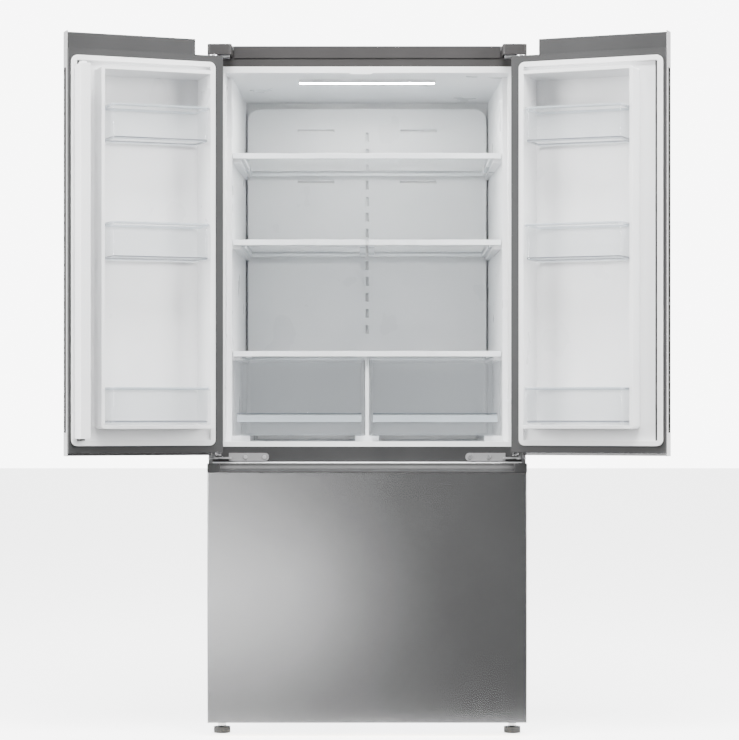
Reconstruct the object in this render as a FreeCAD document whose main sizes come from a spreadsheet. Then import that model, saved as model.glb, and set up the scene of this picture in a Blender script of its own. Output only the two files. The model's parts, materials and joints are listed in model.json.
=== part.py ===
import FreeCAD, Part
import os
import re

# French door refrigerator: two fresh-food doors over one pull-out freezer drawer.
# The origin is on the floor under the middle of the cabinet, +Z is up and the front faces -Y.

os.makedirs("parts", exist_ok=True)
doc = FreeCAD.newDocument("Refrigerator")
sheet = doc.addObject("Spreadsheet::Sheet", "Sizes")

# Driving sizes in millimetres and degrees: alias, value, meaning.
DRIVING = [
    ("overall_width", 762, "cabinet and drawer width"),
    ("overall_depth", 706, "drawer face to the back of the cabinet"),
    ("cabinet_height", 1652, "floor to the top of the cabinet"),
    ("door_depth", 60, "front of a door to the front plane of the cabinet"),
    ("body_bottom", 34, "floor to the bottom of the cabinet and drawer"),
    ("sheet_gauge", 1.5, "steel sheet of the casing and the skins"),
    ("liner_gauge", 2.5, "thermoformed liners"),
    ("side_wall", 40, "casing side to the liner at the front opening"),
    ("liner_step", 9, "how far the liner steps in behind the door liners"),
    ("step_depth", 86, "depth of the wide front part of the liner"),
    ("liner_draft", 14, "how much each liner side narrows towards the back"),
    ("back_wall", 55, "insulation behind the fresh-food liner"),
    ("ceiling_wall", 64, "cabinet top to the ceiling of the fresh-food space"),
    ("fridge_floor", 702, "height of the fresh-food floor"),
    ("trim_height", 49, "height of the dark trim at the top of the cabinet"),
    ("trim_lower", 20, "height of the lower band of that trim"),
    ("rail_bottom", 653.6, "bottom of the centre rail"),
    ("rail_top", 690.3, "top of the centre rail"),
    ("freezer_top", 640, "ceiling of the freezer space"),
    ("freezer_floor", 95, "floor of the freezer space"),
    ("freezer_wall", 48, "casing side to the freezer liner"),
    ("freezer_back", 105, "cabinet back to the freezer liner's upper part"),
    ("machine_depth", 236, "depth of the machine space"),
    ("machine_top", 262, "ceiling of the machine space"),
    ("hinge_inset", 14, "casing side to the hinge axis"),
    ("hinge_setback", 18, "door front to the hinge axis"),
    ("door_thick", 50, "door front to the face of its plastic frame"),
    ("door_gap", 5, "gap between the two doors when shut"),
    ("door_bottom", 670, "bottom of the door skin"),
    ("door_top", 1661, "top of the door skin"),
    ("core_bottom", 677, "bottom of the door's insulated part"),
    ("core_top", 1619, "top of the door's insulated part"),
    ("lip_depth", 20, "depth of the lip that hides the cabinet's top trim"),
    ("rim_width", 25, "width of the plastic frame round the door liner"),
    ("rim_depth", 10, "depth of that frame along the sides"),
    ("cap_height", 25, "height of the caps at the ends of a door"),
    ("skin_round", 8, "rounding of the door skin's long edges"),
    ("pocket_bottom", 725, "bottom of the pocket handle"),
    ("pocket_top", 1576, "top of the pocket handle"),
    ("pocket_width", 17, "width of the pocket handle"),
    ("pocket_depth", 22, "depth of the pocket handle"),
    ("pocket_front", 11, "door front to the pocket handle"),
    ("gasket_width", 12, "width of the magnetic gaskets"),
    ("gasket_side", 22, "hinge edge of a door to its gasket"),
    ("gasket_end", 17, "end of a door to its gasket"),
    ("gasket_free", 6.5, "free edge of a door to its gasket"),
    ("gasket_height", 9.5, "height of the gaskets when shut"),
    ("dyke_in", 37, "hinge axis to the bin space of a door"),
    ("dyke_out", 294, "hinge axis to the far side of the bin space"),
    ("dyke_wall", 8, "wall of the raised liner beside the bins"),
    ("dyke_rise", 60, "how far the liner stands out beside the bins"),
    ("dyke_sink", 20, "how far the bin space is sunk into the door"),
    ("dyke_bottom", 742, "floor of the bin space"),
    ("dyke_top", 1566, "ceiling of the bin space"),
    ("dyke_draft", 6, "how much the bin space narrows towards the door"),
    ("bin_wall", 3, "wall of the door bins"),
    ("bin_round", 12, "rounding of a bin's front corners"),
    ("bin_depth", 108, "depth of the door bins"),
    ("bin_low", 747, "bottom of the lower bin"),
    ("bin_low_height", 84, "height of the lower bin"),
    ("bin_mid", 1128, "bottom of the middle bin"),
    ("bin_mid_height", 85, "height of the middle bin"),
    ("bin_high", 1403, "bottom of the upper bin"),
    ("bin_high_height", 82, "height of the upper bin"),
    ("fit_gap", 0.5, "gap between pieces that move past each other"),
    ("loose_gap", 3, "gap round pieces that lift or slide out"),
    ("open_angle", 158, "how far the doors stand open"),
    ("pin_radius", 5, "hinge pins"),
    ("pin_fit", 0.05, "gap between a hinge pin and its bore"),
    ("pin_length", 20, "how far a hinge pin enters the door"),
    ("leaf_thick", 4, "hinge leaves"),
    ("leaf_radius", 12, "rounded end of the hinge leaves"),
    ("leaf_gap", 2, "gap between a door end and a hinge leaf"),
    ("cover_width", 58, "width of the top hinge covers"),
    ("cover_front", 8, "hinge axis to the front of the covers"),
    ("bracket_height", 19, "height of the middle hinge brackets"),
    ("bracket_rise", 2.4, "bottom of the centre rail to the middle hinge brackets"),
    ("bracket_thick", 3, "thickness of the middle hinge brackets"),
    ("bracket_near", 49, "casing side to the bracket's outer end"),
    ("bracket_far", 145, "casing side to the bracket's inner end"),
    ("bar_thick", 24, "thickness of the flip mullion"),
    ("bar_reach", 46, "pivot to the far edge of the flip mullion"),
    ("bar_pivot", 342, "hinge axis to the pivot of the flip mullion"),
    ("bar_tab", 6, "height of the tab on top of the flip mullion"),
    ("bar_pin", 2, "radius of the pins the flip mullion turns on"),
    ("bar_arm", 4, "thickness of the door's arms that hold those pins"),
    ("guide_near", 16, "pivot of the flip mullion to the near end of its guide"),
    ("guide_far", 37, "pivot of the flip mullion to the far end of its guide"),
    ("guide_deep", 34, "cabinet front to the back of that guide"),
    ("bar_inset", 6, "gap between the flip mullion and the ceiling"),
    ("duct_depth", 26, "depth of the duct cover on the back of the space"),
    ("duct_width", 313, "half width of the duct cover"),
    ("duct_top", 1570, "top of the duct cover"),
    ("duct_round", 32, "rounding of the duct cover's top corners"),
    ("vent_width", 95, "width of an air slot"),
    ("vent_height", 7, "height of an air slot"),
    ("vent_inner", 87, "middle of the cover to the inner end of a slot"),
    ("vent_low", 1374, "height of the lower air slots"),
    ("vent_high", 1508, "height of the upper air slots"),
    ("ladder_width", 7, "width of the shelf ladder slots"),
    ("ladder_slot", 22, "height of a shelf ladder slot"),
    ("ladder_pitch", 42, "pitch of the shelf ladder slots"),
    ("ladder_low", 980, "height of the lowest shelf ladder slot"),
    ("shelf_front", 95, "cabinet front to the front of the shelves"),
    ("shelf_rim", 14, "width of a shelf's trim"),
    ("shelf_height", 13, "height of a shelf's trim"),
    ("glass_thick", 4, "shelf glass"),
    ("glass_seat", 6, "how far the glass sits in the trim"),
    ("top_shelf", 1392, "bottom of the top shelf's trim"),
    ("half_shelf", 1181, "bottom of the half shelves' trim"),
    ("half_gap", 8, "gap between the half shelves"),
    ("crisper_cover", 909, "bottom of the crisper cover's trim"),
    ("crisper_bottom", 716, "bottom of the crispers"),
    ("crisper_height", 186, "height of the crispers"),
    ("crisper_wall", 3, "wall of the crispers"),
    ("crisper_lip", 771, "height of the crisper front's lower step"),
    ("divider_thick", 10, "thickness of the crisper divider"),
    ("light_depth", 121, "cabinet front to the ceiling light"),
    ("light_half", 167, "half length of the ceiling light"),
    ("grip_height", 22, "height of the drawer's grip cap"),
    ("drawer_top", 651, "top of the drawer's grip cap"),
    ("grip_end", 30, "length of each end of the grip cap"),
    ("basket_floor", 128, "bottom of the freezer basket"),
    ("basket_height", 270, "height of the freezer basket"),
    ("tray_floor", 500, "bottom of the freezer tray"),
    ("tray_height", 90, "height of the freezer tray"),
    ("tub_wall", 3, "walls of the basket and the tray"),
    ("rail_height", 36, "height of the drawer slides"),
    ("rail_gauge", 4, "thickness of each drawer slide member"),
    ("slide_level", 300, "bottom of the drawer slides"),
    ("foot_radius", 20, "radius of a front foot"),
    ("foot_height", 15, "height of a foot's pad"),
    ("foot_inset", 31, "casing side to a foot's axis"),
    ("foot_setback", 30, "cabinet front to a foot's axis"),
    ("stem_radius", 5, "radius of a foot's threaded stem"),
    ("roller_radius", 20, "radius of a rear roller"),
    ("roller_width", 24, "width of a rear roller"),
    ("roller_inset", 60, "casing side to the outer face of a roller"),
    ("axle_radius", 4, "radius of the rear axle"),
    ("compressor_radius", 78, "radius of the compressor's shell"),
    ("fan_radius", 50, "radius of the fans"),
]

# Sizes worked out from the driving ones.
DERIVED = [
    ("half_width", "=overall_width / 2"),
    ("front", "=-overall_depth / 2"),
    ("back", "=overall_depth / 2"),
    ("cabinet_front", "=front + door_depth"),
    ("liner_half", "=half_width - side_wall"),
    ("rear_half", "=liner_half - liner_step"),
    ("liner_back", "=back - back_wall"),
    ("liner_ceiling", "=cabinet_height - ceiling_wall"),
    ("trim_bottom", "=cabinet_height - trim_height"),
    ("pivot_across", "=half_width - hinge_inset"),
    ("pivot_along", "=front + hinge_setback"),
    ("plane", "=door_depth - hinge_setback"),
    ("skin_face", "=-hinge_setback"),
    ("skin_inside", "=skin_face + sheet_gauge"),
    ("frame_face", "=door_thick - hinge_setback"),
    ("rim_back", "=frame_face - rim_depth"),
    ("door_end", "=pivot_across - door_gap / 2"),
    ("gasket_face", "=frame_face + gasket_height"),
    ("notch_end", "=cover_width - hinge_inset + 2"),
    ("hinge_base", "=core_top + leaf_gap"),
    ("recess_face", "=frame_face - dyke_sink"),
    ("dyke_face", "=frame_face + dyke_rise"),
    ("bar_level", "=gasket_face + fit_gap + bar_thick / 2"),
    ("bar_low", "=core_bottom + gasket_end + gasket_width + 2 * fit_gap + bar_arm"),
    ("bar_high", "=liner_ceiling - bar_inset - bar_tab"),
    ("freezer_half", "=half_width - freezer_wall"),
    ("freezer_deep", "=back - freezer_back"),
    ("freezer_short", "=back - machine_depth - liner_gauge - 20"),
    ("duct_face", "=liner_back - duct_depth"),
    ("shelf_line", "=cabinet_front + shelf_front"),
    ("shelf_half", "=rear_half - liner_draft - loose_gap"),
    ("shelf_wide", "=rear_half - liner_draft * shelf_front / (liner_back - cabinet_front) - loose_gap"),
    ("skin_top", "=drawer_top - grip_height"),
]
ALIASES = [row[0] for row in DRIVING + DERIVED]

for number, (alias, value, meaning) in enumerate(DRIVING, start=1):
    sheet.set(f"A{number}", meaning)
    sheet.set(f"B{number}", str(value))
    sheet.setAlias(f"B{number}", alias)
for number, (alias, formula) in enumerate(DERIVED, start=1 + len(DRIVING)):
    sheet.set(f"B{number}", formula)
    sheet.setAlias(f"B{number}", alias)
doc.recompute()


def ref(formula):
    """Points each alias in a formula at the sheet."""
    return re.sub(r"[a-z_]+", lambda word: f"Sizes.{word[0]}" if word[0] in ALIASES else word[0],
                  str(formula))


def size(alias):
    return float(sheet.get(alias))


def place(item, across="0", along="0", up="0", angle="0", axis=(0, 0, 1)):
    """Binds an object's Placement to formulas: a position and a turn about an axis."""
    item.Placement = FreeCAD.Placement(FreeCAD.Vector(0, 0, 0), FreeCAD.Rotation(FreeCAD.Vector(*axis), 1))
    item.setExpression("Placement.Rotation.Angle", ref(angle))
    for letter, formula in (("x", across), ("y", along), ("z", up)):
        item.setExpression(f"Placement.Base.{letter}", ref(formula))
    return item


def box(name, x, y, z):
    """A block between low and high formulas along each axis."""
    item = doc.addObject("Part::Box", name)
    for prop, letter, (low, high) in (("Length", "x", x), ("Width", "y", y), ("Height", "z", z)):
        item.setExpression(prop, ref(f"({high}) - ({low})"))
        item.setExpression(f"Placement.Base.{letter}", ref(low))
    return item


def wedge(name, x, y, z, x_far, z_far):
    """A block whose far face, at the high end of y, has its own width and height."""
    item = doc.addObject("Part::Wedge", name)
    ends = (("Xmin", x[0]), ("Xmax", x[1]), ("Ymin", y[0]), ("Ymax", y[1]), ("Zmin", z[0]),
            ("Zmax", z[1]), ("X2min", x_far[0]), ("X2max", x_far[1]), ("Z2min", z_far[0]),
            ("Z2max", z_far[1]))
    for prop, formula in ends:
        item.setExpression(prop, ref(formula))
    return item


def rod(name, radius, length, across, along, up, axis="z"):
    """A cylinder that starts at a point and runs along +X, +Y or +Z."""
    item = doc.addObject("Part::Cylinder", name)
    item.setExpression("Radius", ref(radius))
    item.setExpression("Height", ref(length))
    turn = {"x": ("90", (0, 1, 0)), "y": ("-90", (1, 0, 0)), "z": ("0", (0, 0, 1))}[axis]
    return place(item, across, along, up, *turn)


def fuse(name, *shapes):
    item = doc.addObject("Part::MultiFuse", name)
    item.Shapes = list(shapes)
    item.Refine = True
    return item


def group(name, *shapes):
    """Separate solids that make one node."""
    item = doc.addObject("Part::Compound", name)
    item.Links = list(shapes)
    return item


def cut(name, base, *tools):
    item = doc.addObject("Part::Cut", name)
    item.Base = base
    item.Tool = tools[0] if len(tools) == 1 else fuse(f"{name}_tools", *tools)
    item.Refine = True
    return item


def both(formula):
    """A low and high pair on each side of the middle."""
    return (f"-({formula})", formula)


def round_edges(name, base, value, chooser):
    """Rounds the edges of a shape that the chooser picks."""
    doc.recompute()
    item = doc.addObject("Part::Fillet", name)
    item.Base = base
    item.Edges = [(index, value, value) for index, edge in enumerate(base.Shape.Edges, start=1)
                  if chooser(edge)]
    return item


def runs_along(letter, *limits):
    """Picks straight edges along an axis whose middle is inside the given limits."""
    def chooser(edge):
        if edge.Curve.TypeId != "Part::GeomLine":
            return False
        if abs(abs(getattr(edge.tangentAt(edge.FirstParameter), letter)) - 1) > 1e-6:
            return False
        centre = edge.CenterOfMass
        return all(low <= getattr(centre, axis) <= high for axis, low, high in limits)
    return chooser


nodes = {}


def node(name, item):
    """Names a finished piece and keeps it for export."""
    item.Label = name
    nodes[name] = item
    return item


# --- cabinet -------------------------------------------------------------------------------------

def fridge_space(name, grow):
    """The fresh-food space: a wide mouth for the door liners, then a tapering rear part."""
    mouth = box(f"{name}_mouth", both(f"liner_half + {grow}"),
                ("cabinet_front", f"cabinet_front + step_depth + {grow}"),
                (f"fridge_floor - {grow}", f"liner_ceiling + {grow}"))
    rear = wedge(f"{name}_rear", both(f"rear_half + {grow}"),
                 ("cabinet_front", f"liner_back + {grow}"),
                 (f"fridge_floor - {grow}", f"liner_ceiling + {grow}"),
                 both(f"rear_half - liner_draft + {grow}"),
                 (f"fridge_floor - {grow}", f"liner_ceiling + {grow}"))
    return fuse(name, mouth, rear)


def freezer_space(name, grow):
    """The freezer space, shorter at the bottom where the machine space is."""
    sides = both(f"freezer_half + {grow}")
    deep = box(f"{name}_deep", sides, ("cabinet_front", f"freezer_deep + {grow}"),
               (f"machine_top + 20 - {grow}", f"freezer_top + {grow}"))
    short = box(f"{name}_short", sides, ("cabinet_front", f"freezer_short + {grow}"),
                (f"freezer_floor - {grow}", "machine_top + 40"))
    return fuse(name, deep, short)


wrap_outer = box("wrap_outer", both("half_width"), ("cabinet_front", "back"),
                 ("body_bottom", "cabinet_height"))
wrap_inner = box("wrap_inner", both("half_width - sheet_gauge"),
                 ("cabinet_front + sheet_gauge", "back + sheet_gauge"),
                 ("body_bottom - sheet_gauge", "cabinet_height - sheet_gauge"))
wrap_mouth = box("wrap_mouth", both("half_width - 10"), ("cabinet_front - 1", "cabinet_front + 10"),
                 ("body_bottom - 1", "cabinet_height - 10"))
wrap_shell = cut("wrap_shell", wrap_outer, wrap_inner, wrap_mouth)
node("cabinet_wrap", round_edges("wrap_rounded", wrap_shell, size("sheet_gauge") - 0.5,
                                 lambda edge: runs_along("y", ("z", 1651, 1653))(edge)
                                 and abs(edge.CenterOfMass.x) > size("half_width") - 0.1
                                 and edge.CenterOfMass.z > size("cabinet_height") - 0.1))

back_plate = box("back_plate", both("half_width - sheet_gauge"), ("back - sheet_gauge", "back"),
                 ("machine_top", "cabinet_height - sheet_gauge"))
node("rear_panel", back_plate)

foam_block = box("foam_block", both("half_width - sheet_gauge"),
                 ("cabinet_front + liner_gauge", "back - sheet_gauge"),
                 ("body_bottom + 20", "cabinet_height - sheet_gauge"))
foam_machine = box("foam_machine", both("half_width"), ("back - machine_depth", "back + 1"),
                   ("0", "machine_top"))
foam_front = box("foam_front", both("half_width"), ("cabinet_front", "cabinet_front + 25"),
                 ("rail_bottom", "rail_top"))
foam_trim = box("foam_trim", both("half_width"), ("cabinet_front", "cabinet_front + 25"),
                ("trim_bottom", "cabinet_height"))
foam_edges = [box(f"foam_edge_{side}", (low, high), ("cabinet_front", "cabinet_front + liner_gauge"),
                  ("0", "cabinet_height"))
              for side, low, high in (("left", "-half_width", "10 - half_width"),
                                      ("right", "half_width - 10", "half_width"))]
node("cabinet_foam", cut("foam_cut", foam_block, foam_machine, foam_front, foam_trim,
                         fridge_space("foam_fridge", "liner_gauge"),
                         freezer_space("foam_freezer", "liner_gauge"), *foam_edges))

fridge_flange = box("fridge_flange", both("half_width - 10"),
                    ("cabinet_front", "cabinet_front + liner_gauge"),
                    ("rail_top", "trim_bottom"))
node("fridge_liner", cut("fridge_liner_cut",
                         fuse("fridge_liner_outside", fridge_flange,
                              fridge_space("fridge_outside", "liner_gauge")),
                         fridge_space("fridge_inside", "0"),
                         box("fridge_opening", both("liner_half"),
                             ("cabinet_front - 1", "cabinet_front + 5"),
                             ("fridge_floor", "liner_ceiling"))))

freezer_flange = box("freezer_flange", both("half_width - 10"),
                     ("cabinet_front", "cabinet_front + liner_gauge"), ("body_bottom + 20", "rail_bottom"))
node("freezer_liner", cut("freezer_liner_cut",
                          fuse("freezer_liner_outside", freezer_flange,
                               freezer_space("freezer_outside", "liner_gauge")),
                          freezer_space("freezer_inside", "0"),
                          box("freezer_opening", both("freezer_half"),
                              ("cabinet_front - 1", "cabinet_front + 5"), ("freezer_floor", "freezer_top"))))

node("centre_rail", box("rail", both("half_width - 10"), ("cabinet_front", "cabinet_front + 25"),
                        ("rail_bottom", "rail_top")))

trim_low = box("trim_low", both("half_width - 10"), ("cabinet_front", "cabinet_front + 25"),
               ("trim_bottom", "trim_bottom + trim_lower"))
trim_high = box("trim_high", both("half_width - 10"), ("cabinet_front - 3", "cabinet_front + 25"),
                ("trim_bottom + trim_lower", "cabinet_height - sheet_gauge"))
trim_lip = box("trim_lip", both("half_width - cover_width - loose_gap"),
               ("cabinet_front - 3", "cabinet_front"),
               ("cabinet_height - sheet_gauge", "cabinet_height"))
trim_room = [box(f"trim_room_{side}", (low, high), ("cabinet_front - 4", "cabinet_front"),
                 ("trim_bottom", "cabinet_height + 1"))
             for side, low, high in (("left", "-half_width - 1", "cover_width + loose_gap - half_width"),
                                     ("right", "half_width - cover_width - loose_gap", "half_width + 1"))]
trim_return = box("trim_return", both("half_width"), ("cabinet_front", "cabinet_front + sheet_gauge"),
                  ("cabinet_height - 10", "cabinet_height"))
node("top_trim", cut("trim_cut", fuse("trim_body", trim_low, trim_high, trim_lip), trim_return, *trim_room))

# --- inside the fresh-food space -----------------------------------------------------------------

duct_slab = box("duct_slab", both("duct_width"), ("duct_face", "liner_back"), ("fridge_floor", "duct_top"))
duct_arch = round_edges("duct_arch", duct_slab, size("duct_round"),
                        lambda edge: runs_along("y", ("z", 1, 9999))(edge)
                        and edge.CenterOfMass.z > size("duct_top") - 1)
slots = []
for row in ("vent_low", "vent_high"):
    for side, low, high in (("left", "-vent_inner - vent_width", "-vent_inner"),
                            ("right", "vent_inner", "vent_inner + vent_width")):
        slots.append(box(f"{row}_{side}", (low, high), ("duct_face - 1", "duct_face + 10"),
                         (row, f"{row} + vent_height")))
for index in range(13):
    low = f"ladder_low + {index} * ladder_pitch"
    slots.append(box(f"ladder_{index}", both("ladder_width / 2"), ("duct_face - 1", "duct_face + 12"),
                     (low, f"{low} + ladder_slot")))
duct_hollow = box("duct_hollow", both("duct_width - 40"), ("liner_back - 10", "liner_back + 1"),
                  ("fridge_floor + 20", "duct_top - 90"))
node("duct_cover", cut("duct_cut", duct_arch, duct_hollow, *slots))

node("light_lens", box("lens", both("light_half"), ("cabinet_front + light_depth",
                                                    "cabinet_front + light_depth + 22"),
                       ("liner_ceiling - 8", "liner_ceiling")))
guide_block = box("guide_block", ("bar_pivot - pivot_across - guide_near",
                                  "bar_pivot - pivot_across + guide_far"),
                  ("cabinet_front + fit_gap", "cabinet_front + guide_deep"),
                  ("liner_ceiling - 3", "liner_ceiling"))
node("mullion_guide", guide_block)


def shelf_frame(name, x, bottom, back):
    """A shelf's trim: a rim with a rebate that the glass lies in."""
    low, high = x
    wide_x = tuple(str(end).replace("shelf_half", "shelf_wide") for end in x)
    heights = (bottom, f"{bottom} + shelf_height")
    rim = wedge(f"{name}_rim", wide_x, ("shelf_line", back), heights, x, heights)
    well = box(f"{name}_well", (f"{low} + shelf_rim", f"{high} - shelf_rim"),
               ("shelf_line + shelf_rim", f"{back} - shelf_rim"),
               (f"{bottom} - 1", f"{bottom} + shelf_height + 1"))
    seat = box(f"{name}_seat", (f"{low} + shelf_rim - glass_seat", f"{high} - shelf_rim + glass_seat"),
               ("shelf_line + shelf_rim - glass_seat", f"{back} - shelf_rim + glass_seat"),
               (f"{bottom} + shelf_height - glass_thick - 1", f"{bottom} + shelf_height - 1"))
    return cut(name, rim, well, seat)


def shelf_pane(name, x, bottom, back):
    low, high = x
    return box(name, (f"{low} + shelf_rim - glass_seat", f"{high} - shelf_rim + glass_seat"),
               ("shelf_line + shelf_rim - glass_seat", f"{back} - shelf_rim + glass_seat"),
               (f"{bottom} + shelf_height - glass_thick - 1", f"{bottom} + shelf_height - 1"))


shelf_back = "duct_face - loose_gap"
supports = []
for side, span in (("left", ("-rear_half - 1", "6 - shelf_half")),
                   ("right", ("shelf_half - 6", "rear_half + 1"))):
    for level in ("top_shelf", "half_shelf", "crisper_cover"):
        supports.append(box(f"ledge_{level}_{side}", span, ("shelf_line + 16", shelf_back),
                            (f"{level} - 9", level)))
for side, span in (("left", ("-rear_half - 1", "28 - shelf_half")),
                   ("right", ("shelf_half - 28", "rear_half + 1"))):
    supports.append(box(f"runner_{side}", span, ("shelf_line + 16", shelf_back),
                        ("fridge_floor - 1", "crisper_bottom - fit_gap")))
outside_wall = fridge_space("ledge_limit", "liner_gauge")
ledge_set = doc.addObject("Part::MultiCommon", "ledge_set")
ledge_set.Shapes = [fuse("ledges", *supports), outside_wall]
node("fridge_liner", fuse("fridge_liner_ledges", nodes["fridge_liner"], ledge_set))
doc.getObject("fridge_liner_cut").Label = "fridge_liner_shell"
wide = both("shelf_half")
left_half = ("-shelf_half", "-half_gap / 2")
right_half = ("half_gap / 2", "shelf_half")
node("top_shelf_frame", shelf_frame("top_shelf", wide, "top_shelf", shelf_back))
node("half_shelf_frames", group("half_shelves", shelf_frame("half_left", left_half, "half_shelf",
                                                            shelf_back),
                                shelf_frame("half_right", right_half, "half_shelf", shelf_back)))
node("crisper_cover_frame", shelf_frame("crisper_lid", wide, "crisper_cover", shelf_back))
node("shelf_glass", group("panes", shelf_pane("top_pane", wide, "top_shelf", shelf_back),
                          shelf_pane("left_pane", left_half, "half_shelf", shelf_back),
                          shelf_pane("right_pane", right_half, "half_shelf", shelf_back),
                          shelf_pane("crisper_pane", wide, "crisper_cover", shelf_back)))
divider_wall = box("divider_wall", both("divider_thick / 2"), ("shelf_line + 20", shelf_back),
                   ("fridge_floor", "crisper_cover"))
divider_foot = box("divider_foot", both("divider_thick / 2 + 24"), ("shelf_line + 20", shelf_back),
                   ("fridge_floor", "crisper_bottom - fit_gap"))
node("crisper_divider", fuse("divider_body", divider_wall, divider_foot))


def crisper(name, x):
    """A clear drawer with a stepped front and a finger rim."""
    low, high = x
    top = "crisper_bottom + crisper_height"
    tub = box(f"{name}_tub", (f"{low} + 4", f"{high} - 4"), ("shelf_line + 8", "duct_face - 12"),
              ("crisper_bottom", top))
    wide_x = tuple(str(end).replace("shelf_half", "shelf_wide") for end in x)
    front = box(f"{name}_front", wide_x, ("shelf_line", "shelf_line + 8"), ("crisper_bottom", top))
    hollow = box(f"{name}_hollow", (f"{low} + 4 + crisper_wall", f"{high} - 4 - crisper_wall"),
                 ("shelf_line + crisper_wall", "duct_face - 12 - crisper_wall"),
                 ("crisper_bottom + crisper_wall", f"{top} + 1"))
    step = box(f"{name}_step", (f"{wide_x[0]} - 1", f"{wide_x[1]} + 1"),
               ("shelf_line - 1", "shelf_line + 1"),
               ("crisper_lip", f"{top} + 1"))
    return cut(name, fuse(f"{name}_outside", tub, front), hollow, step)


crisper_side = "divider_thick / 2 + loose_gap"
node("crisper_left", crisper("crisper_l", ("loose_gap - shelf_half", f"-({crisper_side})")))
node("crisper_right", crisper("crisper_r", (crisper_side, "shelf_half - loose_gap")))

# --- doors ---------------------------------------------------------------------------------------
# A door is drawn shut, in a frame with its origin on the hinge axis: u runs from the hinge edge to
# the free edge, y from the front to the cabinet. The right door is the mirror of the left one.

def mullion_arms():
    """The left door's arms that the flip mullion's pins turn in, and the bores in them."""
    arms, bores = [], []
    for end, low in (("low", "bar_low - fit_gap - bar_arm"), ("high", "bar_high + fit_gap")):
        arms.append(box(f"bar_arm_{end}", ("bar_pivot - 10", "bar_pivot + 3.5"),
                        ("frame_face", "bar_level + 5"),
                        (low, f"{low} + bar_arm")))
        bores.append(rod(f"bar_bore_{end}", "bar_pin + pin_fit", "bar_arm + 2", "bar_pivot", "bar_level",
                         f"{low} - 1"))
    return arms, bores


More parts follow.
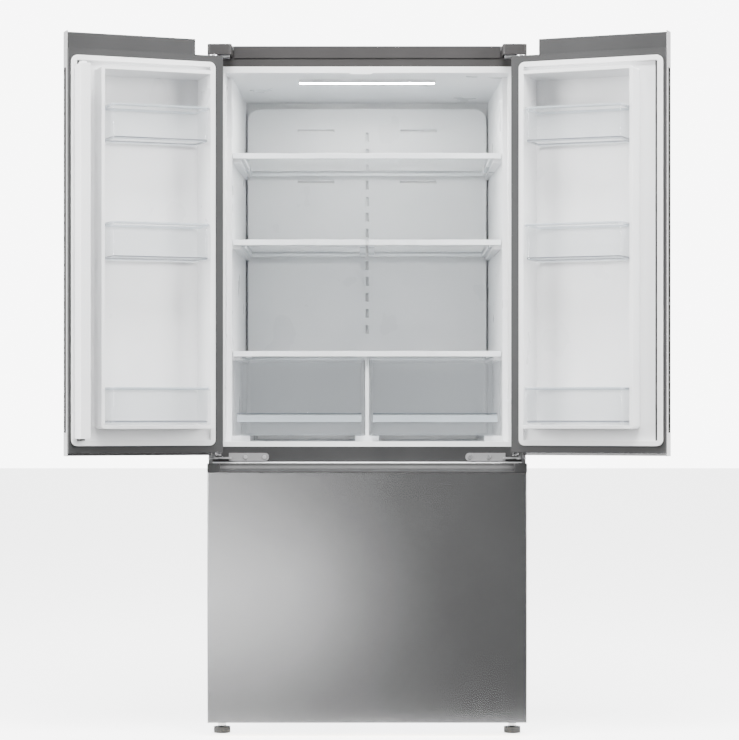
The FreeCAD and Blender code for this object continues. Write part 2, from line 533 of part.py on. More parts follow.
def door(side):
    left = side == "left"

    def across(low, high):
        return (low, high) if left else (f"-({high})", f"-({low})")

    def block(name, u, y, z):
        return box(f"{side}_{name}", across(*u), y, z)

    def bored(name, base, *tools):
        return cut(f"{side}_{name}", base, *tools)

    def hang(name, item):
        place(item, "-pivot_across" if left else "pivot_across", "pivot_along", "0",
              "-open_angle" if left else "open_angle")
        node(f"{side}_{name}", item)

    def core(name, inset, y_high, z, u_low="-hinge_inset"):
        """A block inside the skin whose front corners follow the skin's rounding."""
        blank = block(f"{name}_blank", (f"{u_low} + {inset}", f"door_end - {inset}"),
                      (f"skin_face + {inset}", y_high), z)
        face = size("skin_face") + (size("sheet_gauge") if inset != "0" else 0)
        radius = size("skin_round") - (size("sheet_gauge") if inset != "0" else 0)
        return round_edges(f"{side}_{name}", blank, radius, runs_along("z", ("y", face - 0.1, face + 0.1)))

    hinge_corner = block("hinge_corner", ("-hinge_inset - 1", "notch_end"), ("skin_face - 1", "plane"),
                         ("core_top", "door_top + 1"))
    pocket_y = ("skin_face + pocket_front", "skin_face + pocket_front + pocket_width")
    pocket = block("pocket", ("door_end - pocket_depth", "door_end + 1"), pocket_y,
                   ("pocket_bottom", "pocket_top"))
    pocket_cup = block("pocket_cup", ("door_end - pocket_depth - liner_gauge", "door_end - sheet_gauge"),
                       (f"{pocket_y[0]} - liner_gauge", f"{pocket_y[1]} + liner_gauge"),
                       ("pocket_bottom - liner_gauge", "pocket_top + liner_gauge"))

    web_u = ("door_end - sheet_gauge - 4", "door_end - sheet_gauge")
    web_y = (f"{pocket_y[1]} + 1", "rim_back")

    skin = bored("skin_cut", core("skin_outside", "0", "rim_back", ("door_bottom", "door_top")),
                 core("skin_hollow", "sheet_gauge", "rim_back + 1", ("door_bottom - 1", "door_top + 1")),
                 hinge_corner, pocket)
    hang("door_skin", skin)

    opening = (("rim_width - hinge_inset", "door_end - rim_width"),
               ("core_bottom + rim_width", "core_top - rim_width"))
    rim = block("rim", ("-hinge_inset", "door_end"), ("rim_back", "frame_face"), ("core_bottom", "core_top"))
    rim_opening = block("rim_opening", opening[0], ("rim_back - 1", "frame_face + 1"), opening[1])
    rim_ring = bored("rim_ring", rim, rim_opening)
    low_cap = core("low_cap", "sheet_gauge", "rim_back", ("core_bottom", "core_bottom + cap_height"))
    high_cap = core("high_cap", "sheet_gauge", "rim_back", ("core_top - cap_height", "core_top"))
    lip = core("lip", "sheet_gauge", "skin_inside + lip_depth", ("core_top", "door_top - 1"))
    low_bore = rod(f"{side}_low_bore", "pin_radius + pin_fit", "pin_length + 2", "0", "0", "core_bottom - 1")
    high_bore = rod(f"{side}_high_bore", "pin_radius + pin_fit", "pin_length + 2", "0", "0",
                    "core_top - pin_length - 1")
    web = block("pocket_web", web_u, web_y, ("pocket_bottom", "pocket_top"))
    arms, arm_bores = mullion_arms() if left else ([], [])
    body = fuse(f"{side}_frame_body", rim_ring, low_cap, high_cap, lip, pocket_cup, web, *arms)
    hang("door_frame", bored("frame_cut", body, hinge_corner, pocket, low_bore, high_bore, *arm_bores))

    plate = block("plate", opening[0], ("frame_face - liner_gauge", "frame_face"), opening[1])
    dyke_outside = block("dyke_outside", ("dyke_in - dyke_wall", "dyke_out + dyke_wall"),
                         ("recess_face - liner_gauge", "dyke_face"),
                         ("dyke_bottom - dyke_wall", "dyke_top + dyke_wall"))
    dyke_round = round_edges(f"{side}_dyke_round", dyke_outside, size("dyke_wall"),
                             runs_along("y", ("z", 1, 9999)))
    space_low = across("dyke_in + dyke_draft", "dyke_out - dyke_draft")
    space_high = across("dyke_in", "dyke_out")
    space = wedge(f"{side}_bin_space", space_low, ("recess_face", "dyke_face + 1"),
                  ("dyke_bottom + dyke_draft / 4", "dyke_top - dyke_draft"), space_high,
                  ("dyke_bottom", "dyke_top"))
    hang("door_liner", bored("liner_cut", fuse(f"{side}_liner_body", plate, dyke_round), space))

    filling = core("filling", "sheet_gauge", "rim_back", ("core_bottom + cap_height",
                                                          "core_top - cap_height"))
    backing = block("backing", opening[0], ("rim_back", "frame_face - liner_gauge"), opening[1])
    dyke_copy = block("dyke_copy", ("dyke_in - dyke_wall", "dyke_out + dyke_wall"),
                      ("recess_face - liner_gauge", "dyke_face"),
                      ("dyke_bottom - dyke_wall", "dyke_top + dyke_wall"))
    cup_copy = block("cup_copy", ("door_end - pocket_depth - liner_gauge", "door_end"),
                     (f"{pocket_y[0]} - liner_gauge", f"{pocket_y[1]} + liner_gauge"),
                     ("pocket_bottom - liner_gauge", "pocket_top + liner_gauge"))
    web_copy = block("web_copy", web_u, web_y, ("pocket_bottom", "pocket_top"))
    hang("door_foam", bored("foam_cut", fuse(f"{side}_foam_body", filling, backing), dyke_copy, cup_copy,
                            web_copy))

    ring = block("gasket_ring", ("gasket_side - hinge_inset", "door_end - gasket_free"),
                 ("frame_face", "gasket_face"),
                 ("core_bottom + gasket_end", "core_top - gasket_end"))
    ring_hole = block("gasket_hole", ("gasket_side - hinge_inset + gasket_width",
                                      "door_end - gasket_free - gasket_width"),
                      ("frame_face - 1", "gasket_face + 1"),
                      ("core_bottom + gasket_end + gasket_width", "core_top - gasket_end - gasket_width"))
    hang("door_gasket", bored("gasket_cut", ring, ring_hole))

    bin_u = ("dyke_in + dyke_draft + loose_gap", "dyke_out - dyke_draft - loose_gap")
    for level, low, height in (("lower", "bin_low", "bin_low_height"),
                               ("middle", "bin_mid", "bin_mid_height"),
                               ("upper", "bin_high", "bin_high_height")):
        name = f"{level}_bin"
        outside = block(name, bin_u, ("recess_face + fit_gap", "recess_face + bin_depth"),
                        (low, f"{low} + {height}"))
        rounded = round_edges(f"{side}_{name}_round", outside, size("bin_round"),
                              lambda edge: runs_along("z", ("z", 1, 9999))(edge)
                              and edge.CenterOfMass.y > size("recess_face") + size("bin_depth") - 1)
        inside = block(f"{name}_inside", (f"{bin_u[0]} + bin_wall", f"{bin_u[1]} - bin_wall"),
                       ("recess_face + fit_gap + bin_wall", "recess_face + bin_depth - bin_wall"),
                       (f"{low} + bin_wall", f"{low} + {height} + 1"))
        inside_round = round_edges(f"{side}_{name}_inside_round", inside,
                                   size("bin_round") - size("bin_wall"),
                                   lambda edge: runs_along("z", ("z", 1, 9999))(edge)
                                   and edge.CenterOfMass.y > size("recess_face") + size("bin_depth") - 4)
        back_drop = block(f"{name}_back_drop", (f"{bin_u[0]} - 1", f"{bin_u[1]} + 1"),
                          ("recess_face", "recess_face + 20"),
                          (f"{low} + {height} - 22", f"{low} + {height} + 1"))
        item = bored(f"{name}_cut", rounded, inside_round, back_drop)
        hang(name, item)


door("left")
door("right")

# The flip mullion hangs on the left door and turns about a pivot near its own edge. It is drawn
# folded, square to the door, which is how it stands while the door is open.
bar = box("bar", ("bar_pivot - bar_thick / 2", "bar_pivot + bar_thick / 2"),
          ("bar_level - bar_thick / 2", "bar_level + bar_reach"),
          ("bar_low", "bar_high"))
bar_round = round_edges("bar_round", bar, size("bar_thick") / 2 - 0.5,
                        lambda edge: runs_along("z", ("z", 1, 9999))(edge)
                        and edge.CenterOfMass.y < size("bar_level"))
tab = box("bar_top_tab", ("bar_pivot - 6", "bar_pivot + 6"), ("bar_level + 8", "bar_level + 36"),
          ("bar_high", "bar_high + bar_tab"))
pins = [rod(f"bar_pin_{end}", "bar_pin", "bar_arm", "bar_pivot", "bar_level", low)
        for end, low in (("low", "bar_low - bar_arm + 1"), ("high", "bar_high - 1"))]
mullion = fuse("mullion_body", bar_round, tab, *pins)
node("flip_mullion", place(mullion, "-pivot_across", "pivot_along", "0", "-open_angle"))

# --- hinges --------------------------------------------------------------------------------------

top_leaves, covers, brackets, screws, screw_holes = [], [], [], [], []
for side, way in (("left", "-1"), ("right", "1")):
    def outward(near, far, way=way):
        """A span measured from the casing's side towards the middle."""
        return (f"-half_width + {near}", f"-half_width + {far}") if way == "-1" else (
            f"half_width - ({far})", f"half_width - ({near})")

    axis_across = f"{way} * pivot_across"
    leaf = box(f"{side}_top_leaf", outward("2", "cover_width - 6"), ("pivot_along", "cabinet_front"),
               ("hinge_base", "hinge_base + leaf_thick"))
    nose = rod(f"{side}_top_nose", "leaf_radius", "leaf_thick", axis_across, "pivot_along", "hinge_base")
    tongue = box(f"{side}_top_tongue", outward("4", "cover_width - 6"),
                 ("cabinet_front - 3", "cabinet_front"),
                 ("hinge_base", "cabinet_height - 6"))
    pin = rod(f"{side}_top_pin", "pin_radius", "pin_length + leaf_gap", axis_across, "pivot_along",
              "core_top - pin_length")
    top_leaves.append(fuse(f"{side}_top_hinge", leaf, nose, tongue, pin))

    shell = box(f"{side}_cover_shell", outward("0", "cover_width"),
                ("pivot_along - cover_front", "cabinet_front"),
                ("hinge_base + leaf_thick", "cabinet_height - 1"))
    shell_round = round_edges(f"{side}_cover_round", shell, size("cover_front") - 0.5,
                              lambda edge: runs_along("z", ("z", 1, 9999))(edge)
                              and edge.CenterOfMass.y < size("pivot_along"))
    hollow = box(f"{side}_cover_hollow", outward("3", "cover_width - 3"),
                 ("pivot_along", "cabinet_front + 1"),
                 ("hinge_base + leaf_thick - 1", "cabinet_height - 4"))
    covers.append(cut(f"{side}_cover", shell_round, hollow))

    plate = box(f"{side}_bracket_plate", outward("bracket_near", "bracket_far"),
                ("cabinet_front - bracket_thick", "cabinet_front"),
                ("rail_bottom + bracket_rise", "rail_bottom + bracket_rise + bracket_height"))
    plate_round = round_edges(f"{side}_bracket_round", plate, size("bracket_height") / 2 - 0.5,
                              lambda edge, way=way: runs_along("y", ("z", 1, 9999))(edge)
                              and abs(edge.CenterOfMass.x) < size("half_width") - size("bracket_far") + 1)
    arm = box(f"{side}_bracket_arm", outward("2", "bracket_near + 6"), ("pivot_along", "cabinet_front"),
              ("door_bottom - 5 - leaf_thick", "door_bottom - 5"))
    elbow = rod(f"{side}_bracket_nose", "leaf_radius", "leaf_thick", axis_across, "pivot_along",
                "door_bottom - 5 - leaf_thick")
    lower_pin = rod(f"{side}_bracket_pin", "pin_radius", "core_bottom + pin_length - door_bottom + 5",
                    axis_across,
                    "pivot_along", "door_bottom - 5")
    drilled = []
    for index, offset in enumerate(("bracket_near + 40", "bracket_far - 10.5")):
        spot = f"{way} * (half_width - ({offset}))"
        level = "rail_bottom + bracket_rise + bracket_height / 2"
        hole = rod(f"{side}_screw_hole_{index}", "2.3", "20", spot, "cabinet_front - 6", level, "y")
        head = rod(f"{side}_screw_head_{index}", "4.5", "2.5", spot,
                   "cabinet_front - bracket_thick - 2.5", level, "y")
        shank = rod(f"{side}_screw_shank_{index}", "2.2", "15", spot,
                    "cabinet_front - bracket_thick - 1", level, "y")
        socket = rod(f"{side}_screw_socket_{index}", "2", "2", spot, "cabinet_front - bracket_thick - 3",
                     level, "y")
        drilled.append(hole)
        screws.append(cut(f"{side}_screw_{index}", fuse(f"{side}_screw_body_{index}", head, shank), socket))
    screw_holes += drilled
    brackets.append(cut(f"{side}_bracket", fuse(f"{side}_bracket_body", plate_round, arm, elbow,
                                                lower_pin), *drilled))

node("top_hinges", group("top_hinge_pair", *top_leaves))
node("hinge_covers", group("cover_pair", *covers))
node("middle_hinges", group("bracket_pair", *brackets))
node("hinge_screws", group("screw_set", *screws))
node("centre_rail", cut("rail_drilled", nodes["centre_rail"], *screw_holes))
doc.getObject("rail").Label = "rail_blank"

# --- freezer drawer ------------------------------------------------------------------------------

def rounded_front(name, inset, y_high, z):
    """A drawer-wide block whose front corners follow the skin's rounding."""
    blank = box(f"{name}_blank", both(f"half_width - {inset}"), (f"front + {inset}", y_high), z)
    face = size("front") + (size("sheet_gauge") if inset != "0" else 0)
    radius = size("skin_round") / 2 - (size("sheet_gauge") if inset != "0" else 0)
    return round_edges(name, blank, radius, runs_along("z", ("y", face - 0.1, face + 0.1)))


drawer_back = "front + door_thick"
node("drawer_skin", cut("drawer_skin_cut",
                        rounded_front("drawer_skin_outside", "0", f"{drawer_back} - rim_depth",
                                      ("body_bottom", "skin_top")),
                        rounded_front("drawer_skin_hollow", "sheet_gauge", drawer_back,
                                      ("body_bottom - 1", "skin_top + 1"))))
grip_block = rounded_front("grip_block", "0", drawer_back, ("skin_top", "drawer_top"))
grip_scoop = rod("grip_scoop", "grip_height - 4", "2 * (half_width - grip_end)", "grip_end - half_width",
                 "front",
                 "drawer_top", "x")
node("drawer_grip_cap", cut("grip_cut", grip_block, grip_scoop))
drawer_plate = box("drawer_plate", both("half_width - 2"), (f"{drawer_back} - rim_depth", drawer_back),
                   ("body_bottom + 2", "skin_top"))
drawer_rise = box("drawer_rise", both("freezer_half - 30"), (f"{drawer_back} - 1", f"{drawer_back} + 26"),
                  ("freezer_floor + 20", "skin_top - 30"))
drawer_rise_round = round_edges("drawer_rise_round", drawer_rise, 12, runs_along("y", ("z", 1, 9999)))
node("drawer_liner", fuse("drawer_liner_body", drawer_plate, drawer_rise_round))
node("drawer_foam", rounded_front("drawer_fill", "sheet_gauge", f"{drawer_back} - rim_depth",
                                  ("body_bottom + 2", "skin_top")))
drawer_ring = box("drawer_ring", both("half_width - 16"), (drawer_back, f"{drawer_back} + gasket_height"),
                  ("freezer_floor - 14", "drawer_top - 1"))
drawer_ring_hole = box("drawer_ring_hole", both("half_width - 16 - gasket_width"),
                       (f"{drawer_back} - 1", f"{drawer_back} + gasket_height + 1"),
                       ("freezer_floor - 14 + gasket_width", "drawer_top - 1 - gasket_width"))
node("drawer_gasket", cut("drawer_gasket_cut", drawer_ring, drawer_ring_hole))

# --- freezer inside ------------------------------------------------------------------------------

fixed, middle, inner = [], [], []
slide_start = "cabinet_front + 12"
for side, way in (("left", "-1"), ("right", "1")):
    def member(name, step, start, way=way, side=side):
        """One member of a telescopic slide, a step in from the liner wall."""
        far = f"freezer_half - {step} * (rail_gauge + fit_gap)"
        near = f"{far} - rail_gauge"
        span = (f"-({far})", f"-({near})") if way == "-1" else (near, far)
        trim = f"{step} * 4"
        return box(f"{side}_{name}", span, (start, "freezer_short - 20"),
                   (f"slide_level + {trim}", f"slide_level + rail_height - {trim}"))

    fixed.append(member("slide_fixed", 0, slide_start))
    middle.append(member("slide_middle", 1, slide_start))
    inner.append(member("slide_inner", 2, f"{drawer_back} + 27"))
node("slide_rails_fixed", group("fixed_pair", *fixed))
node("slide_rails_middle", group("middle_pair", *middle))
inner_bridge = box("inner_bridge", both("freezer_half - 2 * (rail_gauge + fit_gap)"),
                   (f"{drawer_back} + 26", f"{drawer_back} + 28"),
                   ("slide_level + 8", "slide_level + rail_height - 8"))
node("slide_rails_inner", fuse("inner_pair", inner_bridge, *inner))


def tub(name, half, y, low, height):
    """An open tub with rounded corners."""
    outside = box(f"{name}_outside", both(half), y, (low, f"{low} + {height}"))
    rounded = round_edges(f"{name}_rounded", outside, 16, runs_along("z", ("z", 1, 9999)))
    inside = box(f"{name}_inside", both(f"{half} - tub_wall"), (f"{y[0]} + tub_wall", f"{y[1]} - tub_wall"),
                 (f"{low} + tub_wall", f"{low} + {height} + 1"))
    hollow = round_edges(f"{name}_hollow", inside, 13, runs_along("z", ("z", 1, 9999)))
    return cut(name, rounded, hollow)


node("freezer_basket", tub("basket", "freezer_half - 2 * (rail_gauge + fit_gap) - rail_gauge - 1",
                           (f"{drawer_back} + 28", "freezer_short - 24"), "basket_floor", "basket_height"))
node("freezer_tray", tub("tray", "freezer_half - 8", ("cabinet_front + 22", "freezer_short + 60"),
                         "tray_floor",
                         "tray_height"))
ledges = [box(f"tray_ledge_{side}", span, ("cabinet_front + 22", "freezer_short + 60"),
              ("tray_floor - 8", "tray_floor - fit_gap"))
          for side, span in (("left", ("-freezer_half - 1", "18 - freezer_half")),
                             ("right", ("freezer_half - 18", "freezer_half + 1")))]
node("freezer_liner", fuse("freezer_liner_ledges", nodes["freezer_liner"], *ledges))
doc.getObject("freezer_liner_cut").Label = "freezer_liner_shell"

coil_low = "machine_top + 60"
coil_height = "170"
fins = [box(f"fin_{index}", (f"{10 * index} - 215", f"{10 * index} - 213.8"),
            ("freezer_deep - 44", "freezer_deep - 4"),
            (coil_low, f"{coil_low} + {coil_height}")) for index in range(44)]
tubes = [rod(f"coil_tube_{row}_{depth}", "4", "440", "-220", f"freezer_deep - {depth}",
             f"{coil_low} + {20 + 32 * row}", "x")
         for row in range(5) for depth in (14, 34)]
node("evaporator", fuse("evaporator_body", *tubes, *fins))
cold_wall = box("cold_wall", both("freezer_half - 2"), ("freezer_deep - 56", "freezer_deep - 53"),
                ("machine_top + 22", "freezer_top - 2"))
cold_slots = [box(f"cold_slot_{index}", (f"{60 * index} - 270", f"{60 * index} - 230"),
                  ("freezer_deep - 60", "freezer_deep"),
                  ("machine_top + 40", "machine_top + 46")) for index in range(9)]
cold_ring = rod("cold_ring", "fan_radius - 4", "10", "0", "freezer_deep - 60", "freezer_top - 72", "y")
node("evaporator_cover", cut("cold_wall_cut", cold_wall, cold_ring, *cold_slots))


def fan(name, axis, across, along, up):
    """A hub with five blades; the hub's bore takes the motor's shaft."""
    hub = rod(f"{name}_hub", "14", "22", "0", "0", "0")
    blades = []
    for index in range(5):
        blade = doc.addObject("Part::Box", f"{name}_blade_{index}")
        blade.setExpression("Length", ref("fan_radius - 16"))
        blade.Width = 18
        blade.Height = 2.4
        turn = FreeCAD.Rotation(FreeCAD.Vector(0, 0, 1), 72 * index)
        pitch = turn * FreeCAD.Rotation(FreeCAD.Vector(1, 0, 0), 28)
        blade.Placement = FreeCAD.Placement(FreeCAD.Vector(0, 0,
                                                           11) + pitch.multVec(FreeCAD.Vector(10, -9,
                                                                                              -1.2)), pitch)
        blades.append(blade)
    body = fuse(f"{name}_body", hub, *blades)
    turn = {"x": ("90", (0, 1, 0)), "y": ("-90", (1, 0, 0))}[axis]
    return place(body, across, along, up, *turn)


node("evaporator_fan", fan("cold_fan", "y", "0", "freezer_deep - 50", "freezer_top - 72"))

# --- machine space -------------------------------------------------------------------------------

machine_front = "back - machine_depth"
pan = box("pan", both("half_width - sheet_gauge"), ("cabinet_front + 4", "back - sheet_gauge"),
          ("body_bottom", "body_bottom + 2"))
foot_line = "cabinet_front + foot_setback"
roller_line = "back - 60"
roller_near = {"left": "roller_inset - half_width", "right": "half_width - roller_inset - roller_width"}
wells, lugs, rollers = [], [], []
for side, way in (("left", "-1"), ("right", "1")):
    foot_across = f"{way} * (half_width - foot_inset)"
    wells.append(rod(f"{side}_foot_well", "stem_radius + pin_fit", "24", foot_across, foot_line,
                     "body_bottom - 1"))
    boss = rod(f"{side}_foot_boss", "stem_radius + 5", "16", foot_across, foot_line, "body_bottom")
    bore = rod(f"{side}_axle_bore", "axle_radius + pin_fit", "12",
               f"{way} * (half_width - roller_inset / 2) - 6",
               roller_line, "roller_radius", "x")
    low = f"{way} * (half_width - roller_inset / 2) - 2"
    lug = box(f"{side}_roller_lug", (low, f"{low} + 4"), (f"{roller_line} - 12", f"{roller_line} + 12"),
              ("roller_radius - 9", "body_bottom + 1"))
    lugs += [boss, lug]
    wells.append(bore)
    near = roller_near[side]
    rollers.append(rod(f"{side}_roller", "roller_radius", "roller_width", near, roller_line,
                       "roller_radius", "x"))
    wells.append(box(f"{side}_roller_well", (f"{near} - loose_gap", f"{near} + roller_width + loose_gap"),
                     (f"{roller_line} - roller_radius - loose_gap",
                      f"{roller_line} + roller_radius + loose_gap"),
                     ("body_bottom - 1", "body_bottom + 3")))
    pad = rod(f"{side}_foot_pad", "foot_radius", "foot_height", foot_across, foot_line, "0")
    pad_round = round_edges(f"{side}_foot_round", pad, 2,
                            lambda edge: edge.CenterOfMass.z < 1 and edge.Length > 60)
    stem = rod(f"{side}_foot_stem", "stem_radius", "body_bottom + 12", foot_across, foot_line, "1")
    node(f"front_foot_{side}", fuse(f"{side}_foot", pad_round, stem))
node("base_pan", cut("pan_cut", fuse("pan_body", pan, *lugs), *wells))

axle = rod("rear_axle", "axle_radius", "2 * (half_width - 22)", "22 - half_width", roller_line,
           "roller_radius", "x")
node("rear_rollers", fuse("roller_set", axle, *rollers))

dome = doc.addObject("Part::Sphere", "compressor_dome")
dome.setExpression("Radius", ref("compressor_radius"))
place(dome, "-half_width / 2", "back - machine_depth / 2 - 10", "body_bottom + 110")
barrel = rod("compressor_barrel", "compressor_radius", "60", "-half_width / 2",
             "back - machine_depth / 2 - 10",
             "body_bottom + 50")
belly = doc.addObject("Part::Sphere", "compressor_belly")
belly.setExpression("Radius", ref("compressor_radius"))
place(belly, "-half_width / 2", "back - machine_depth / 2 - 10", "body_bottom + 82")
mounting = box("compressor_feet", ("-half_width / 2 - 85", "85 - half_width / 2"),
               ("back - machine_depth / 2 - 70", "back - machine_depth / 2 + 50"),
               ("body_bottom + 2", "body_bottom + 12"))
node("compressor", fuse("compressor_body", dome, barrel, belly, mounting))

plates = [box(f"plate_{index}", (f"{8 * index} + 60", f"{8 * index} + 61.2"), ("back - 190", "back - 70"),
              ("body_bottom + 2", "body_bottom + 162")) for index in range(25)]
loops = [rod(f"loop_{row}_{depth}", "3.5", "205", "55", f"back - {depth}",
             f"body_bottom + {30 + 28 * row}", "x")
         for row in range(5) for depth in (160, 130, 100)]
node("condenser", fuse("condenser_body", *plates, *loops))
node("condenser_fan", fan("warm_fan", "x", "10", "back - 130", "body_bottom + 85"))

rear_cover = box("rear_cover", both("half_width - sheet_gauge"), ("back - sheet_gauge", "back"),
                 ("body_bottom + 4", "machine_top"))
grille = [box(f"grille_{row}_{column}", (f"{40 * column} - 300", f"{40 * column} - 268"),
              ("back - 3", "back + 1"),
              (f"body_bottom + {40 + 16 * row}", f"body_bottom + {46 + 16 * row}"))
          for row in range(9) for column in range(13)]
inlet_hole = box("inlet_hole", ("270", "300"), ("back - 3", "back + 1"),
                 ("body_bottom + 60", "body_bottom + 84"))
node("machine_cover", cut("rear_cover_cut", rear_cover, inlet_hole, *grille))
inlet_body = box("inlet_body", ("270", "300"), ("back - 24", "back"),
                 ("body_bottom + 60", "body_bottom + 84"))
inlet_well = box("inlet_well", ("273", "297"), ("back - 18", "back + 1"),
                 ("body_bottom + 63", "body_bottom + 81"))
inlet_tongues = [box(f"inlet_blade_{index}", (f"{278 + 6 * index}", f"{280 + 6 * index}"),
                     ("back - 19", "back - 5"),
                     ("body_bottom + 69", "body_bottom + 75")) for index in range(3)]
node("power_inlet", fuse("inlet", cut("inlet_cup", inlet_body, inlet_well), *inlet_tongues))

# --- check and export ----------------------------------------------------------------------------

doc.recompute()
for item in doc.Objects:
    if "Invalid" in item.State or "Error" in item.State:
        raise RuntimeError(f"{item.Name} failed: {item.State}")
for name, item in nodes.items():
    if item.Shape.isNull() or not item.Shape.isValid():
        raise RuntimeError(f"{name} has no valid shape")
for name, item in nodes.items():
    item.Shape.exportStep(f"parts/{name}.step")
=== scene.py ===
import json
import math

import bmesh
import bpy
from mathutils import Matrix, Vector


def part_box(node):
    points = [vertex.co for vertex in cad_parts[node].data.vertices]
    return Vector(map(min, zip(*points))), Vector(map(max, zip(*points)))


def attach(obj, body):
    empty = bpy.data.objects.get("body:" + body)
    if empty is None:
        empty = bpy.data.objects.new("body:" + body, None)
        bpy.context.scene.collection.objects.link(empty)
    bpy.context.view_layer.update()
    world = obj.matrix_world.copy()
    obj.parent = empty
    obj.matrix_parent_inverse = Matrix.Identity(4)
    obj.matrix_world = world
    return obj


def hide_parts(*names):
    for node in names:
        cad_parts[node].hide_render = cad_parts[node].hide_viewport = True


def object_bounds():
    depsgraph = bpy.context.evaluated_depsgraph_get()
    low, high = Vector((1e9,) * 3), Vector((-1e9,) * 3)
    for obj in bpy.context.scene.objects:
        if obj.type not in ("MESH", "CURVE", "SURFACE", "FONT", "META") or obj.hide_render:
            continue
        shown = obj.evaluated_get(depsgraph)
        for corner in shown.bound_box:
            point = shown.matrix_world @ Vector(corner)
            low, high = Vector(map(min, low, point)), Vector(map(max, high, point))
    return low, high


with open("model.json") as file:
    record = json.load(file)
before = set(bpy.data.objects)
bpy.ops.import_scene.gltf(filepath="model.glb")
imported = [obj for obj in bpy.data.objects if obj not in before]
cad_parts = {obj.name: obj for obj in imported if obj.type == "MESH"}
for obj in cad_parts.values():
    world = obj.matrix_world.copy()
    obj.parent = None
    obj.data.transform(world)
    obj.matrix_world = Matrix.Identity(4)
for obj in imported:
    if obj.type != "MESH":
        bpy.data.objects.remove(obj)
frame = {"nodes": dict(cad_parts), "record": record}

# French door refrigerator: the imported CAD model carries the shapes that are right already, and the
# pieces made here replace those that need finer edges, profiles or parts of their own.

MM = 0.001
cad_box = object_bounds()
record = frame["record"]
body_of = {node: body for body, nodes in record["behaviour"]["bodies"].items() for node in nodes}
slot_of = {part["node"]: part["material_slot"] for part in record["subparts"]}
joints = {joint["name"]: joint for joint in record["behaviour"]["joints"]}


# --- materials -----------------------------------------------------------------------------------

class Finish:
    """A Principled material with procedural detail in the object's own coordinates."""

    def __init__(self, name, color, roughness, metallic=0.0, **sockets):
        self.material = bpy.data.materials.new(name)
        self.material.use_nodes = True
        self.tree = self.material.node_tree
        self.shader = self.tree.nodes["Principled BSDF"]
        self.shader.inputs["Base Color"].default_value = (*color, 1.0)
        self.shader.inputs["Roughness"].default_value = roughness
        self.shader.inputs["Metallic"].default_value = metallic
        for socket, value in sockets.items():
            self.shader.inputs[socket.replace("_", " ")].default_value = value
        self.coordinates = self.tree.nodes.new("ShaderNodeTexCoord")
        self.height = None

    def link(self, output, socket):
        self.tree.links.new(output, socket)

    def noise(self, scale, detail=3.0, stretch=(1, 1, 1)):
        mapping = self.tree.nodes.new("ShaderNodeMapping")
        mapping.inputs["Scale"].default_value = stretch
        texture = self.tree.nodes.new("ShaderNodeTexNoise")
        texture.inputs["Scale"].default_value = scale
        texture.inputs["Detail"].default_value = detail
        self.link(self.coordinates.outputs["Object"], mapping.inputs["Vector"])
        self.link(mapping.outputs["Vector"], texture.inputs["Vector"])
        return texture.outputs["Fac"]

    def span(self, factor, low, high):
        """Maps a noise factor's middle half to a range."""
        node = self.tree.nodes.new("ShaderNodeMapRange")
        node.inputs["From Min"].default_value = 0.3
        node.inputs["From Max"].default_value = 0.7
        node.inputs["To Min"].default_value = low
        node.inputs["To Max"].default_value = high
        self.link(factor, node.inputs["Value"])
        return node.outputs["Result"]

    def color(self, factor, low, high):
        node = self.tree.nodes.new("ShaderNodeMix")
        node.data_type = "RGBA"
        node.inputs["A"].default_value = (*low, 1.0)
        node.inputs["B"].default_value = (*high, 1.0)
        self.link(self.span(factor, 0.0, 1.0), node.inputs["Factor"])
        self.link(node.outputs["Result"], self.shader.inputs["Base Color"])

    def roughness(self, factor, low, high):
        self.link(self.span(factor, low, high), self.shader.inputs["Roughness"])

    def bump(self, factor, strength, distance):
        node = self.tree.nodes.new("ShaderNodeBump")
        node.inputs["Strength"].default_value = strength
        node.inputs["Distance"].default_value = distance
        self.link(factor, node.inputs["Height"])
        if self.height is not None:
            self.link(self.height, node.inputs["Normal"])
        self.height = node.outputs["Normal"]
        self.link(self.height, self.shader.inputs["Normal"])


def brushed(name, low, high, rough):
    """Sheet steel with a fine grain that runs level, and a slow mottle in its sheen."""
    finish = Finish(name, high, rough, 1.0, Anisotropic=0.2, Anisotropic_Rotation=0.25)
    grain = finish.noise(1.0, 4.0, (14, 14, 1900))
    mottle = finish.noise(5.0, 2.0)
    finish.color(grain, low, high)
    finish.roughness(mottle, rough - 0.006, rough + 0.008)
    finish.bump(grain, 0.12, 0.0002)
    return finish.material


def moulded(name, low, high, rough, grain_size=900, relief=0.08, **sockets):
    """Moulded or painted: a fine leathery grain with slow changes of colour and sheen."""
    finish = Finish(name, high, rough, **sockets)
    cloud = finish.noise(7.0, 3.0)
    grain = finish.noise(grain_size, 2.0)
    finish.color(cloud, low, high)
    finish.roughness(cloud, rough - 0.04, rough + 0.05)
    finish.bump(grain, relief, 0.0003)
    return finish.material


def clear(name, color, rough, bump_size, solidity):
    """Thin clear plastic or glass with a slight unevenness; solidity is the share it covers."""
    finish = Finish(name, color, rough, Alpha=solidity)
    ripple = finish.noise(bump_size, 1.0)
    finish.roughness(ripple, rough, rough + 0.03)
    finish.bump(ripple, 0.03, 0.001)
    return finish.material


def glowing(name, color, strength):
    """A diffuser with fine prisms that lights what is round it."""
    finish = Finish(name, color, 0.5)
    prisms = finish.noise(400.0, 1.0, (1, 6, 1))
    finish.shader.inputs["Emission Color"].default_value = (*color, 1.0)
    finish.shader.inputs["Emission Strength"].default_value = strength
    finish.bump(prisms, 0.2, 0.0004)
    return finish.material


